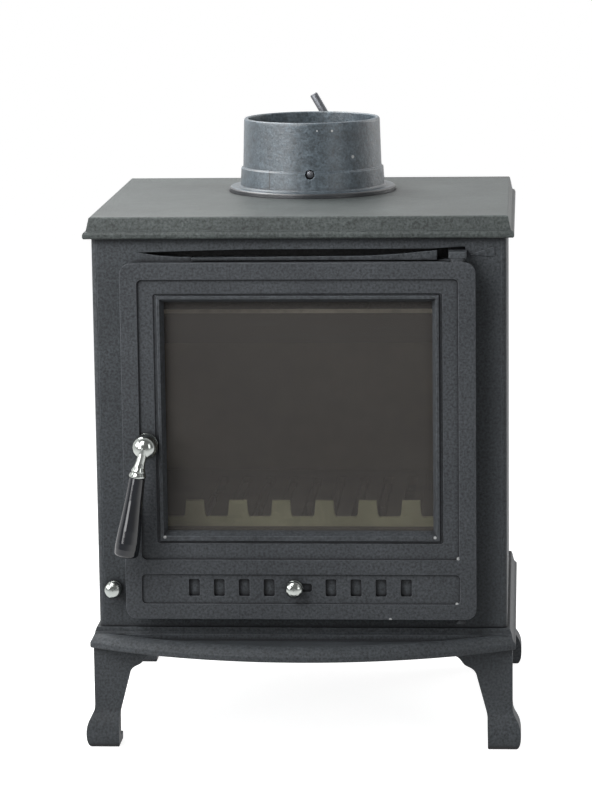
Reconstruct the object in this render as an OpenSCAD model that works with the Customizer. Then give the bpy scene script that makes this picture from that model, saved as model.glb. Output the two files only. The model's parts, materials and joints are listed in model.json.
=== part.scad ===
// Cast iron multifuel stove with a glazed door, top flue collar and four legs.
// Millimetres. X runs across the front, Y from front to back, Z up from the floor.

/* [Body] */
// Width over the two side panels
body_w = 386; // [370:1:410]
// Depth over the front frame and back panel
body_d = 329; // [318:1:350]
// Height of the side panels
body_h = 370.4; // [366:0.2:390]
// Wall of the cast side panels
side_t = 7; // [6:0.5:8]
// Wall of the front frame and back panel
panel_t = 7; // [6:0.5:8]
// Width of the rounded side panel corner that shows at the front
corner_strip = 5; // [4:0.5:6]

/* [Top plate] */
// Thickness of the top plate at its edge
top_h = 20; // [18:0.5:24]
// Thickness of the top plate away from its edge
top_skin = 8; // [7:0.5:10]
// Overhang of the lip past the side panels
top_over_side = 7; // [6:0.5:12]
// Overhang of the lip past the front frame
top_over_front = 8; // [6:0.5:12]
// Overhang of the lip past the back panel
top_over_back = 9; // [8:0.5:14]
// Inset of the flat cooking surface from the lip
top_bevel = 6; // [5:0.5:9]

/* [Flue collar] */
// Bore of the collar, which takes the flue pipe
flue_d = 126; // [118:1:130]
// Distance of the flue centre in front of the back edge of the top plate
flue_setback = 117.7; // [112:0.1:130]
// Depth of the socket that the flue pipe stands in
socket_depth = 35; // [32:1:36]
// Width of the ledge under the flue pipe
socket_ledge = 3; // [2:0.5:4]
// Height of the collar above the top plate
collar_h = 71.7; // [66:0.1:90]
// Wall of the collar at its rim
collar_t = 3.7; // [3.2:0.1:5]
// Radius of the flange
flange_r = 82; // [78:0.5:90]
// Thickness of the flange
flange_t = 4.7; // [4:0.1:6]
// Height of the raised band above the top plate
band_h = 23; // [20:0.5:26]
// Height of the damper spindle above the top plate
damper_h = 22; // [20:0.5:24]
// Diameter of the damper spindle
damper_rod_d = 8; // [7:0.5:9]
// Gap between the damper plate and the collar bore
damper_gap = 4; // [3:0.5:8]
// Length of the damper handle from the spindle to its bend
damper_rise = 35.5; // [30:0.5:38]
// Length of the bent tip of the damper handle
damper_tip = 36; // [30:1:40]
// Distance of the damper handle behind the flue centre
damper_reach = 95; // [92:1:110]

/* [Base] */
// Height of the underside of the base plate above the floor
leg_h = 95.6; // [85:0.1:110]
// Height of the base plate
base_h = 19; // [18:0.5:22]
// Reach of the base bead past the side panels
base_bead = 8; // [7:0.5:9]
// Distance of the base corners in front of the front frame
base_corner = 11; // [9:0.5:14]
// Extra reach of the bowed shelf at the middle
base_bow = 53; // [45:1:60]
// Depth of the sunk ash lip under the body's lower edge
tray_drop = 11.5; // [9:0.5:12]
// Thickness of the ash chamber floor
floor_t = 6; // [5:0.5:7]

/* [Legs] */
// Wall of the cast legs
leg_t = 8; // [7:0.5:9]
// Width of each leg just above its foot
leg_ankle = 25; // [23:0.5:28]
// Width of each leg where it meets the base
leg_knee = 57; // [56:1:60]
// Flare of each foot past the leg
foot_flare = 7.8; // [6:0.2:9]
// Distance of the rear legs in front of the back panel
rear_leg_in = 1; // [0:0.5:10]

/* [Door] */
// Width of the body left free beside the door
door_margin = 28.5; // [28:0.5:32]
// Height of the body left free above the door
door_drop = 21; // [20.5:0.1:22]
// Height of the door's lower edge above the body's lower edge
door_rise = 12.4; // [12:0.1:13]
// Thickness of the door at its edge
door_t = 9; // [8.5:0.1:9.5]
// Distance of the door's outer face in front of the front frame
door_stand = 21; // [21:0.1:22]
// Radius of the door's corners
door_corner = 10.5; // [8:0.5:12]
// Width of the door's frame beside the glass
sight_side = 40; // [38.5:0.5:44]
// Height of the door's frame above the glass
sight_top = 37; // [36:0.5:42]
// Height of the glass opening's lower edge above the door's lower edge
sight_rise = 83.5; // [82:0.5:88]
// Thickness of the glass
glass_t = 4; // [3.5:0.5:4.5]
// Width of the glass held behind the door on each side
glass_lap = 8; // [7:0.5:9]
// Diameter of the sealing rope
rope_d = 8; // [7.5:0.1:8.4]
// Diameter of the hinge pins
hinge_d = 5; // [4.5:0.5:5.5]

/* [Handle] */
// Diameter of the chrome ball of the handle
ball_d = 24; // [22:0.5:26]
// Height of the handle above the door's lower edge
handle_rise = 167.2; // [160:0.2:175]
// Distance of the latch spindle from the door's edge
handle_inset = 22.5; // [22:0.1:23]
// Diameter of the latch spindle
spindle_d = 8; // [7:0.5:9]
// Length of the black grip
grip_l = 76.5; // [70:0.5:90]
// Diameter of the grip near its lower end
grip_d = 23; // [20:0.5:25]

/* [Air controls] */
// Width of one air slot in the door
slot_w = 10.3; // [9:0.1:10.8]
// Height of the air slots
slot_h = 16.5; // [14:0.5:18]
// Travel of the primary air slide
air_travel = 12; // [11.5:0.1:12.3]
// Height of the air slots' middle above the door's lower edge
air_rise = 30; // [29:0.5:31]
// Diameter of the chrome knobs
knob_d = 16; // [14:0.2:16.6]
// Travel of the air-wash slide
wash_travel = 10; // [6:0.5:10]

/* [Fire chamber] */
// Height of the hearth plate's top above the body's lower edge
hearth_rise = 92.4; // [90:0.2:95]
// Thickness of the hearth plate
hearth_t = 10; // [9:0.5:11]
// Thickness of the firebricks
brick_t = 25; // [20:1:28]
// Height of the baffle's front edge above the hearth plate
baffle_rise = 196; // [185:1:205]
// Drop of the baffle from front to back
baffle_drop = 64; // [50:1:75]
// Thickness of the baffle
baffle_t = 5; // [4:0.5:7]
// Travel of the riddling rod
riddle_travel = 25; // [15:1:28]
// Distance between neighbouring grate slots
grate_pitch = 24; // [22:0.5:24]
// Width of one grate slot
grate_slot = 10; // [9:0.5:12]
// Distance between the teeth of the log retainer
tooth_pitch = 41; // [38:0.5:43]

/* [Hidden] */

// Colours of the finishes
iron = "#4b4f50";
top_iron = "#5d6462";
collar_iron = "#7c8488";
chrome = "#c9cbcd";
steel = "#8b8d90";
bakelite = "#17181a";
glass_tint = "#4a4438";
fibre = "#b9b2a2";
brick = "#a99f86";

// Clearances: between castings, at the front's hairline joints, of running pins, and of soft seals
fit = 0.3;
hairline = 0.1;
run = 0.05;
seal = 0.3;
eps = 0.01;

// Levels from the floor up
body_z = leg_h + base_h;
panel_top = body_z + body_h;
surface_z = panel_top + top_h;
floor_z = body_z - 5.6;
door_z = body_z + door_rise;
door_top = panel_top - door_drop;
hearth_z = body_z + hearth_rise;
hearth_low = hearth_z - hearth_t;

// Fronts and backs, with the middle of the lip's depth at zero
top_w = body_w + 2 * top_over_side;
top_d = body_d + top_over_front + top_over_back;
front_y = -top_d / 2 + top_over_front;
back_y = top_d / 2 - top_over_back;
frame_back = front_y + panel_t;
wall_in = back_y - panel_t;
side_in = body_w / 2 - side_t;
door_front = front_y - door_stand;
door_back = door_front + door_t;

// Bowed shelf: an arc through both corners and the middle
bead_half = body_w / 2 + base_bead;
corner_y = front_y - base_corner;
bow_r = (bead_half * bead_half + base_bow * base_bow) / (2 * base_bow);
bow_y = corner_y - base_bow + bow_r;
shelf_y = bow_y - bow_r;

// The origin is under the middle of the whole stove
rear_plate_t = 6;
bolt_head = 4;
rear_reach = max(top_d / 2, back_y + rear_plate_t + bolt_head - 1.5);
centre_y = (shelf_y + rear_reach) / 2;

// Rounded outline of a rectangle between two corners
module rounded(x0, z0, x1, z1, r) {
    translate([x0 + r, z0 + r]) circle(r = r, $fn = 48);
    translate([x1 - r, z0 + r]) circle(r = r, $fn = 48);
    translate([x0 + r, z1 - r]) circle(r = r, $fn = 48);
    translate([x1 - r, z1 - r]) circle(r = r, $fn = 48);
    translate([x0 + r, z0]) square([x1 - x0 - 2 * r, z1 - z0]);
    translate([x0, z0 + r]) square([x1 - x0, z1 - z0 - 2 * r]);
}

// Extrude a front view outline from y0 back to y1
module front_view(y0, y1) {
    translate([0, y1, 0]) rotate([90, 0, 0]) linear_extrude(height = y1 - y0) children();
}

// Extrude a side view outline, drawn as depth and height, from x0 to x1
module side_view(x0, x1) {
    translate([x0, 0, 0]) rotate([90, 0, 90]) linear_extrude(height = x1 - x0) children();
}

module block(x0, x1, y0, y1, z0, z1) {
    translate([x0, y0, z0]) cube([x1 - x0, y1 - y0, z1 - z0]);
}

module upright(x, y, z0, z1, r) {
    translate([x, y, z0]) cylinder(h = z1 - z0, r = r, $fn = 48);
}

// Round bar along Y
module along_y(x, z, y0, y1, r) {
    translate([x, y0, z]) rotate([-90, 0, 0]) cylinder(h = y1 - y0, r = r, $fn = 48);
}

// Hexagon head or nut along Y
module hex_y(x, z, y0, y1, r) {
    translate([x, y0, z]) rotate([-90, 0, 0]) cylinder(h = y1 - y0, r = r, $fn = 6);
}

function arc_points(cx, cy, r, from, to, n) =
    [for (i = [0 : n]) let (a = from + (to - from) * i / n) [cx + r * cos(a), cy + r * sin(a)]];

// Points of a cubic curve, without its first one
function curve(p0, p1, p2, p3, n) =
    [for (i = [1 : n]) let (t = i / n, u = 1 - t)
        u * u * u * p0 + 3 * u * u * t * p1 + 3 * u * t * t * p2 + t * t * t * p3];

module placed() {
    translate([0, -centre_y, 0]) children();
}

// Base plate
base_foot = base_bead - 2.5;
runner_h = door_rise + 16.2;

// Lower bead round the base, ending at the given distance out
function bead_points(edge) = [
    [edge - 2.5, leg_h], [edge - 0.6, leg_h + 0.6], [edge, leg_h + 1.8], [edge, leg_h + 5.8],
    [edge - 0.6, leg_h + 7], [edge - 2, leg_h + 8.2]
];

function mirrored(points) =
    concat(points, [for (i = [len(points) - 1 : -1 : 0]) [-points[i][0], points[i][1]]]);

module base_side_profile() {
    half = body_w / 2;
    polygon(mirrored(concat(
        bead_points(half + base_bead),
        [[half + 5, leg_h + 10.4], [half + 4.3, leg_h + 13.4], [half + 3.5, leg_h + 16.4],
            [half + 2.4, body_z]]
    )));
}

// Radial section of the bowed rim, measured from the middle of its arc
rim_band = 14;
rim_z = leg_h + 13.1;

module base_bow_profile() {
    polygon(concat(
        [[0, leg_h]],
        bead_points(bow_r),
        [[bow_r - 4.2, leg_h + 10.5], [bow_r - 7.2, leg_h + 12.4], [bow_r - 10.4, leg_h + 13.5]],
        [[bow_r - 12.4, leg_h + 13.6], [bow_r - rim_band, rim_z], [0, rim_z]]
    ));
}

module base_back_profile() {
    polygon(concat(
        [[shelf_y - 5, leg_h]],
        bead_points(back_y + 2.5),
        [[back_y, leg_h + 9], [back_y, body_z], [shelf_y - 5, body_z]]
    ));
}

// Sunk ash lip between the bowed rim and the body
lip_y = front_y - 7;

module ash_lip() {
    intersection() {
        translate([0, bow_y, body_z - tray_drop]) cylinder(h = tray_drop + 1, r = bow_r - rim_band,
            $fn = 240);
        block(-bead_half, bead_half, shelf_y, lip_y, body_z - tray_drop, body_z + 1);
    }
}

// Moulded platform that carries the panels, behind the ash lip
module base_platform() {
    side_view(-bead_half - 1, bead_half + 1) polygon([
        [lip_y, body_z - tray_drop - 1], [lip_y, body_z - tray_drop], [lip_y + 0.6, body_z - 8],
        [lip_y + 2.2, body_z - 5.5], [lip_y + 3.6, body_z - 4.2], [lip_y + 4, body_z],
        [back_y, body_z], [back_y, body_z - tray_drop - 1]
    ]);
}

// Tie rod and leg bolt places, as distances in from each leg's outer corner
front_leg_y = corner_y + 1.6;
rear_leg_y = back_y - rear_leg_in;
leg_x = body_w / 2 + base_foot - 0.5;
tie_front = [leg_x - 36, front_leg_y + 32.5];
tie_rear = [leg_x - 25, back_y - 20];
leg_bolt_in = [16, 40];
leg_bolt_points = [
    [leg_x - leg_bolt_in[0], front_leg_y + leg_bolt_in[1]],
    [leg_x - leg_bolt_in[0], rear_leg_y - leg_bolt_in[1]]
];
tie_points = [tie_front, tie_rear];
tie_r = 3.5;
nut_r = 7;

module all_corners(points) {
    for (side = [-1, 1]) for (p = points) translate([side * p[0], p[1], 0]) children();
}

// Opening in the front frame, wider on the latch side
half_door = body_w / 2 - door_margin;
open_left = -half_door + 15.5;
open_right = half_door - 31.5;
open_low = body_z + 26.4;
open_high = door_top - 14;
pan_mid = (open_left + open_right) / 2;
pan_half = (open_right - open_left) / 2 - 6;

module base_plate() {
    placed() color(iron) difference() {
        union() {
            difference() {
                intersection() {
                    front_view(shelf_y - 5, back_y + 5) base_side_profile();
                    side_view(-bead_half - 1, bead_half + 1) base_back_profile();
                    union() {
                        translate([0, bow_y, 0]) rotate_extrude($fn = 240) base_bow_profile();
                        base_platform();
                    }
                }
                ash_lip();
                block(-side_in, side_in, frame_back, wall_in, floor_z, body_z + 1);
                block(-leg_x + leg_knee + 2, leg_x - leg_knee - 2, corner_y + 10, back_y - 12,
                    leg_h - 1, floor_z - floor_t);
            }
            for (side = [-1, 1])
                block(pan_mid + side * (pan_half - 25) - 5, pan_mid + side * (pan_half - 25) + 5,
                    frame_back + 6, wall_in - 37, floor_z - 1, body_z + runner_h);
        }
        all_corners(tie_points) {
            translate([0, 0, leg_h - 1]) cylinder(h = floor_z - floor_t - leg_h + 1, r = nut_r + 1.5,
                $fn = 48);
            translate([0, 0, leg_h]) cylinder(h = base_h, r = tie_r + 0.4, $fn = 48);
        }
        all_corners(leg_bolt_points)
            translate([0, 0, leg_h - 1]) cylinder(h = 11.5, r = 3.1, $fn = 48);
    }
}

// Body panels
ledge_w = 8;

module side_panel(side) {
    outer = body_w / 2;
    x0 = side > 0 ? side_in - ledge_w : -side_in - 1;
    x1 = side > 0 ? side_in + 1 : -side_in + ledge_w;
    difference() {
        union() {
            translate([0, 0, body_z]) linear_extrude(height = body_h) intersection() {
                polygon([
                    [side * side_in, front_y], [side * outer, front_y],
                    [side * outer, back_y], [side * side_in, back_y]
                ]);
                union() {
                    translate([side * (outer - corner_strip), front_y + corner_strip])
                        circle(r = corner_strip, $fn = 48);
                    translate([side * (outer - corner_strip / 2) - corner_strip / 2,
                        front_y + corner_strip])
                        square([corner_strip, body_d]);
                    translate([side * (outer - corner_strip - 2) - 2, front_y]) square([4, body_d]);
                }
            }
            block(x0, x1, frame_back + 8, wall_in - 8, hearth_low - 8, hearth_low);
        }
        block(side > 0 ? 0 : -outer + corner_strip, side > 0 ? outer - corner_strip : 0,
            front_y - 1, frame_back + fit, body_z - 1, panel_top + 1);
    }
}

module left_side_panel() {
    placed() color(iron) side_panel(-1);
}

module right_side_panel() {
    placed() color(iron) side_panel(1);
}

outlet_r = flue_d / 2 - socket_ledge;
outlet_z = surface_z - 98;
blank_r = outlet_r + 15;
blank_bolt_x = outlet_r + 8;

module back_panel() {
    placed() color(iron) difference() {
        union() {
            block(-side_in + fit, side_in - fit, wall_in, back_y, body_z, panel_top);
            for (side = [-1, 1]) along_y(side * blank_bolt_x, outlet_z, wall_in - 5, wall_in + 1, 7);
        }
        along_y(0, outlet_z, wall_in - 1, back_y + 1, outlet_r);
        for (side = [-1, 1]) along_y(side * blank_bolt_x, outlet_z, wall_in - 3, back_y + 1, 3.1);
    }
}

module rear_blanking_plate() {
    placed() color(iron) difference() {
        union() {
            along_y(0, outlet_z, back_y, back_y + rear_plate_t - 1.5, blank_r);
            along_y(0, outlet_z, back_y, back_y + rear_plate_t, blank_r - 16);
        }
        for (side = [-1, 1]) along_y(side * blank_bolt_x, outlet_z, back_y - 1, back_y + 7, 3.4);
    }
}

module blanking_bolts() {
    placed() color(steel) for (side = [-1, 1]) {
        along_y(side * blank_bolt_x, outlet_z, wall_in - 2, back_y + rear_plate_t - 1, 3);
        hex_y(side * blank_bolt_x, outlet_z, back_y + rear_plate_t - 1.5,
            back_y + rear_plate_t + bolt_head - 1.5, 5.5);
    }
}

// Slit over the door, which runs on behind the upper hinge lug
wash_left = -half_door + 7;
slit_right = half_door - 9.5;
slit_low = door_top;

lip_left = wash_left + 58;
lip_low = slit_low + 2.9;

module slit() {
    polygon(concat(
        curve([wash_left, slit_low + 8.8], [wash_left + 22, slit_low + 5.2],
            [wash_left + 34, lip_low + 0.1],
            [lip_left, lip_low], 8),
        [[lip_left, slit_low], [slit_right, slit_low], [slit_right, slit_low + 12.2]],
        [[slit_right - 5, slit_low + 12.2], [slit_right - 30, slit_low + 10.4]],
        [[wash_left + 110, slit_low + 10.2], [wash_left + 60, slit_low + 9.1]]
    ));
}

// Riddling rod place
rod_x = -(side_in - 8);
rod_z = body_z + 37.4;
rod_r = 4;

module front_frame() {
    half = body_w / 2 - corner_strip - hairline;
    placed() color(iron) difference() {
        union() {
            block(-half, half, front_y, frame_back, body_z, panel_top);
            // Raised cast web beside the upper hinge lug
            front_view(front_y - 0.6, front_y + 1) polygon([
                [slit_right + 4, slit_low + 4.2], [slit_right + 9, slit_low + 6.4],
                [slit_right + 27, slit_low + 12.2], [slit_right + 27, slit_low + 3]
            ]);
        }
        front_view(front_y - 1, frame_back + 1) {
            rounded(open_left, open_low, open_right, open_high, 8);
            slit();
        }
        along_y(rod_x, rod_z, front_y - 1, frame_back + 1, rod_r + 1.5);
        for (p = frame_screw_points) along_y(p[0], p[1], front_y + 2.5, frame_back + 1, 2.1);
    }
}

// Top plate
module lip_profile(half_low, half_high, over_low, over_high) {
    bead_top = panel_top + 6.8;
    polygon([
        [-half_low + 1, panel_top], [-half_low, panel_top + 1.4], [-half_low, panel_top + 4.2],
        [-half_low + 0.9, panel_top + 5.9], [-half_low + 2.4, bead_top], [-half_low + 3.1, bead_top + 0.4],
        [-half_low + over_low - 0.4, surface_z - 1], [-half_low + over_low + 0.8, surface_z],
        [half_high - over_high - 0.8, surface_z], [half_high - over_high + 0.4, surface_z - 1],
        [half_high - 3.1, bead_top + 0.4], [half_high - 2.4, bead_top], [half_high - 0.9, panel_top + 5.9],
        [half_high, panel_top + 4.2], [half_high, panel_top + 1.4], [half_high - 1, panel_top]
    ]);
}

flue_y = top_d / 2 - flue_setback;
rim_r = flue_d / 2 + collar_t;
collar_screw_r = (flange_r + rim_r + 4) / 2;
collar_screw_angles = [0, 120, 240];
collar_sink = 0.5;
pocket_z = surface_z - top_skin;

module top_plate() {
    placed() color(top_iron) difference() {
        union() {
            difference() {
                intersection() {
                    front_view(-top_d / 2 - 1, top_d / 2 + 1)
                        lip_profile(top_w / 2, top_w / 2, top_bevel, top_bevel);
                    side_view(-top_w / 2 - 1, top_w / 2 + 1)
                        lip_profile(top_d / 2, top_d / 2, top_bevel, top_bevel);
                }
                block(-side_in + 1, side_in - 1, frame_back + 1, wall_in - 1, panel_top - 1, pocket_z);
            }
            all_corners(tie_points) translate([0, 0, pocket_z - 8]) cylinder(h = 9, r = 8, $fn = 48);
        }
        all_corners(tie_points) translate([0, 0, pocket_z - 9]) cylinder(h = 13, r = tie_r + 0.1, $fn = 48);
        upright(0, flue_y, pocket_z - 1, surface_z + 1, outlet_r);
        upright(0, flue_y, surface_z - collar_sink, surface_z + 1, flange_r + fit);
        for (a = collar_screw_angles) translate([0, flue_y, 0]) rotate(a + 30)
            upright(collar_screw_r, 0, pocket_z - 1, surface_z + 1, 3.3);
    }
}

// Flue collar
collar_top = surface_z + collar_h;
ledge_z = collar_top - 0.8 - socket_depth;
band_z = surface_z + band_h;
spindle_z = surface_z + damper_h;
spindle_x = 2;
rod_d2 = damper_rod_d / 2;

module flue_collar() {
    placed() color(collar_iron) difference() {
        translate([0, flue_y, 0]) rotate_extrude($fn = 120) polygon([
            [outlet_r, surface_z - collar_sink], [flange_r - 0.5, surface_z - collar_sink],
            [flange_r, surface_z], [flange_r, surface_z + flange_t - 1.2],
            [flange_r - 1.4, surface_z + flange_t],
            [rim_r + 6.2, surface_z + flange_t], [rim_r + 4.6, surface_z + flange_t + 1.6],
            [rim_r + 3.6, band_z], [rim_r + 1.7, band_z + 1.6], [rim_r + 0.3, collar_top - 2.2],
            [rim_r, collar_top - 0.8], [rim_r - 0.8, collar_top], [rim_r - collar_t + 0.8, collar_top],
            [rim_r - collar_t, collar_top - 0.8], [rim_r - collar_t, ledge_z], [outlet_r, ledge_z]
        ]);
        along_y(spindle_x, spindle_z, flue_y - flange_r - 1, flue_y, rod_d2 + 0.6);
        along_y(spindle_x, spindle_z, flue_y, flue_y + flange_r + 1, rod_d2 + run);
        for (a = collar_screw_angles) translate([0, flue_y, 0]) rotate(a + 30)
            upright(collar_screw_r, 0, surface_z - 1, surface_z + flange_t - 1, 2.6);
    }
}

module collar_screws() {
    placed() color(steel) translate([0, flue_y, 0]) for (a = collar_screw_angles) rotate(a + 30) {
        upright(collar_screw_r, 0, pocket_z - 1, surface_z + flange_t - 1.3, 2.5);
        translate([collar_screw_r, 0, pocket_z - 4]) cylinder(h = 4, r = 5, $fn = 6);
    }
}

damper_r = outlet_r - damper_gap;
damper_t = 4;
boss_r = rod_d2 + 3.5;

module damper_plate() {
    placed() color(iron) difference() {
        union() {
            upright(0, flue_y, spindle_z - damper_t / 2, spindle_z + damper_t / 2, damper_r);
            along_y(spindle_x, spindle_z, flue_y - damper_r + 10, flue_y + damper_r - 10, boss_r);
        }
        along_y(spindle_x, spindle_z, flue_y - outlet_r, flue_y + outlet_r, rod_d2 + 0.02);
        for (side = [-1, 1]) upright(spindle_x, flue_y + side * 24, spindle_z - 1,
            spindle_z + boss_r + 1, 1.6);
    }
}

// The handle rises behind the collar, leans right, then its tip bends left
lean_angle = 19;
tip_angle = -30;
bend_knob = 0.15;

module damper_spindle() {
    bend_y = flue_y + damper_reach;
    placed() color(steel) difference() {
        union() {
            along_y(spindle_x, spindle_z, flue_y - rim_r - 1, bend_y, rod_d2);
            translate([spindle_x, bend_y, spindle_z]) {
                sphere(r = rod_d2 + bend_knob, $fn = 48);
                rotate([0, lean_angle, 0]) {
                    cylinder(h = damper_rise, r = rod_d2, $fn = 48);
                    translate([0, 0, damper_rise]) {
                        sphere(r = rod_d2 + bend_knob, $fn = 48);
                        rotate([0, tip_angle - lean_angle, 0])
                            cylinder(h = damper_tip, r = rod_d2, $fn = 48);
                    }
                }
            }
        }
        for (side = [-1, 1]) upright(spindle_x, flue_y + side * 24, spindle_z, spindle_z + rod_d2 + 1, 1.6);
    }
}

module damper_screws() {
    placed() color(steel) for (side = [-1, 1]) {
        upright(spindle_x, flue_y + side * 24, spindle_z + 0.2, spindle_z + boss_r + 0.3, 1.5);
        upright(spindle_x, flue_y + side * 24, spindle_z + boss_r + 0.1, spindle_z + boss_r + 2.3, 2.8);
    }
}

// Tie rods between the base and the top plate
module tie_rods() {
    placed() color(steel) all_corners(tie_points)
        translate([0, 0, floor_z - floor_t - 6.5]) cylinder(h = pocket_z + 3 - floor_z + floor_t + 6.5,
            r = tie_r, $fn = 48);
}

module tie_rod_nuts() {
    placed() color(steel) all_corners(tie_points)
        translate([0, 0, floor_z - floor_t - 6]) difference() {
            cylinder(h = 6, r = nut_r, $fn = 6);
            translate([0, 0, -1]) cylinder(h = 8, r = tie_r + 0.02, $fn = 48);
        }
}

// Legs: an angle of two profiled webs, cut from crossed front and side outlines
module leg_outline() {
    z = leg_h / 95.6;
    a = leg_ankle;
    f = foot_flare;
    polygon(concat(
        [[0, leg_h], [0, 41 * z]],
        curve([0, 41 * z], [0, 31 * z], [-f * 0.55, 30 * z], [-f * 0.84, 22.5 * z], 8),
        curve([-f * 0.84, 22.5 * z], [-f * 1.14, 15 * z], [-f * 1.06, 2.5], [-f * 0.5, 0], 8),
        [[a - 2.4, 0], [a - 1.7, 1.2]],
        curve([a - 1.6, 28 * z], [a - 1.2, 35 * z], [a - 0.2, 36 * z], [a + 1.2, 42 * z], 5),
        curve([a + 8.3, 69.5 * z], [a + 9.8, 75.5 * z], [a + 13, 77.6 * z], [a + 18, 79.6 * z], 6),
        curve([a + 18, 79.6 * z], [a + 23.4, 82 * z], [a + 23, 89.4 * z], [leg_knee, 90 * z], 7),
        [[leg_knee, leg_h]]
    ));
}

module leg() {
    pad = 8;
    difference() {
        intersection() {
            front_view(-20, leg_knee + 20) leg_outline();
            side_view(-20, leg_knee + 20) leg_outline();
        }
        block(leg_t, leg_knee + 1, leg_t, leg_knee + 1, 8, leg_h - pad);
        translate([leg_bolt_in[0], leg_bolt_in[1], leg_h - pad - 1]) cylinder(h = pad + 2, r = 3.4,
            $fn = 48);
    }
}

module front_left_leg() {
    placed() color(iron) translate([-leg_x, front_leg_y, 0]) leg();
}

module front_right_leg() {
    placed() color(iron) translate([leg_x, front_leg_y, 0]) mirror([1, 0, 0]) leg();
}

module rear_left_leg() {
    placed() color(iron) translate([-leg_x, rear_leg_y, 0]) mirror([0, 1, 0]) leg();
}

module rear_right_leg() {
    placed() color(iron) translate([leg_x, rear_leg_y, 0]) mirror([1, 0, 0]) mirror([0, 1, 0]) leg();
}

module leg_bolts() {
    placed() color(steel) all_corners(leg_bolt_points) {
        translate([0, 0, leg_h - 8 - 4.5]) cylinder(h = 4.5, r = 6, $fn = 6);
        translate([0, 0, leg_h - 8 - 1]) cylinder(h = 8 + 1 + 9.5, r = 3, $fn = 48);
    }
}

// Door
sight_low = door_z + sight_rise;
sight_high = door_top - sight_top;
half_sight = half_door - sight_side;
gasket_t = 1.2;
glass_front = door_back + gasket_t;
latch_x = -half_door + handle_inset;
latch_z = door_z + handle_rise;
hinge_x = half_door - 14.5;
hinge_y = door_back - 4.5;
air_z = door_z + air_rise;
air_skin = 3.4;
air_pocket = 12;
panel_sink = 1.8;
knob_x = -5.6;
slide_front = door_front + panel_sink + air_skin;
slide_t = 3.2;

// Rope loop: it passes outside the latch spindle and inside the hinge pins
rope_left = -half_door + 8.5;
rope_right = hinge_x - 10;
rope_low = door_z + 7.2;
rope_high = door_top - 7.2;
channel_wall = 2.2;
ring_back = front_y - 1.8;

module loop(out) {
    rounded(rope_left - out, rope_low - out, rope_right + out, rope_high + out, 9 + out);
}

// The slide's guides end inside the rope's rim, and four slots lie on each side of the knob
guide_gap = 2.65;
guide_half = rope_right - rope_d / 2 - channel_wall - guide_gap;
slide_reach = guide_half - 11;
slot_last = slide_reach - air_travel - 4 - slot_w / 2;
slot_pitch = (slot_last - 5) / 4;
slot_first = slot_pitch + 5.5;
slot_places = concat(
    [for (i = [3 : -1 : 0]) -0.5 - slot_first - i * slot_pitch],
    [for (i = [0 : 3]) -0.5 + slot_first + i * slot_pitch]
);

module air_slots() {
    for (x = slot_places)
        rounded(x - slot_w / 2, air_z - slot_h / 2, x + slot_w / 2, air_z + slot_h / 2, 1.6);
}

module door() {
    placed() color(iron) difference() {
        union() {
            front_view(door_front, door_back) rounded(-half_door, door_z, half_door, door_top, door_corner);
            // Knuckle under the upper hinge lug
            translate([0, 0, door_top - 1]) linear_extrude(height = upper_lug_z - door_top + 0.9)
                rounded(hinge_x - 8.6, hinge_y - 4.2, hinge_x + 4.6, hinge_y + 4.2, 3);
            // Rim that holds the sealing rope
            front_view(door_back - 1, ring_back) difference() {
                loop(rope_d / 2 + channel_wall);
                loop(-rope_d / 2 - channel_wall);
            }
            // Bearing boss of the latch spindle
            along_y(latch_x, latch_z, door_back - 1, ring_back - 2, spindle_d / 2 + 3);
        }
        // Sunk picture frame, with a groove and a raised bead round the glass
        front_view(door_front - 1, door_front + frame_sink) difference() {
            rounded(-half_door + 15.8, sight_low - 26.5, half_door - 15.8, sight_high + 21.8, 4.5);
            bead_outline();
        }
        difference() {
            front_view(door_front - 1, door_front + groove_sink) bead_outline();
            sight_block([7.2, 9.6, groove_sink], [6, 8.4, bead_sink]);
        }
        sight_block([reveal + 0.2, reveal + 0.9, bead_sink - 0.5], [0, 0, door_t - 1]);
        block(-half_sight, half_sight, door_front - 1, door_back + 1, sight_low, sight_high);
        // Sunk panel with the air slots, and the pocket of the slide behind it
        front_view(door_front - 1, door_front + panel_sink)
            rounded(-half_door + 15.2, door_z + 14.6, half_door - 15.2, door_z + 43.1, 4);
        front_view(door_front - 1, door_back) air_slots();
        front_view(door_front - 1, door_back)
            rounded(knob_x - 4.2, air_z - 4, knob_x + air_travel + 4.2, air_z + 4, 2);
        block(-slide_reach - 1.3, slide_reach + 1.3, slide_front, door_back + 1,
            air_z - air_pocket, air_z + air_pocket);
        // Rope channel, latch bore, hinge bores and screw holes
        front_view(door_back + 1.5, ring_back + 1) difference() {
            loop(rope_d / 2);
            loop(-rope_d / 2);
        }
        along_y(latch_x, latch_z, door_front - 1, ring_back + 1, spindle_d / 2 + run);
        upright(hinge_x, hinge_y, door_z - 1, door_z + 15, hinge_d / 2 + run);
        upright(hinge_x, hinge_y, door_top - 15, upper_lug_z + 1, hinge_d / 2 + run);
        for (p = clip_points) along_y(p[0], p[1], door_back - 4, door_back + 1, 2.1);
        for (p = guide_points) along_y(p[0], p[1], door_back - 4, door_back + 1, 2.1);
    }
}

frame_sink = 2.2;
groove_sink = 3.3;
bead_sink = 0.9;
reveal = 3.5;

module bead_outline() {
    rounded(-half_sight - 9.5, sight_low - 11.2, half_sight + 9.5, sight_high + 8.4, 2.5);
}

// Tapered block round the glass: each end gives its margin, its lower margin and its depth
module sight_block(from, to) {
    hull() for (end = [from, to]) block(-half_sight - end[0], half_sight + end[0],
        door_front + end[2], door_front + end[2] + eps, sight_low - end[1], sight_high + end[0]);
}

module glass_gasket() {
    placed() color(fibre) front_view(door_back, glass_front) difference() {
        rounded(-half_sight - glass_lap, sight_low - glass_lap, half_sight + glass_lap,
            sight_high + glass_lap, 3);
        rounded(-half_sight - 0.8, sight_low - 0.8, half_sight + 0.8, sight_high + 0.8, 1.5);
    }
}

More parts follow.
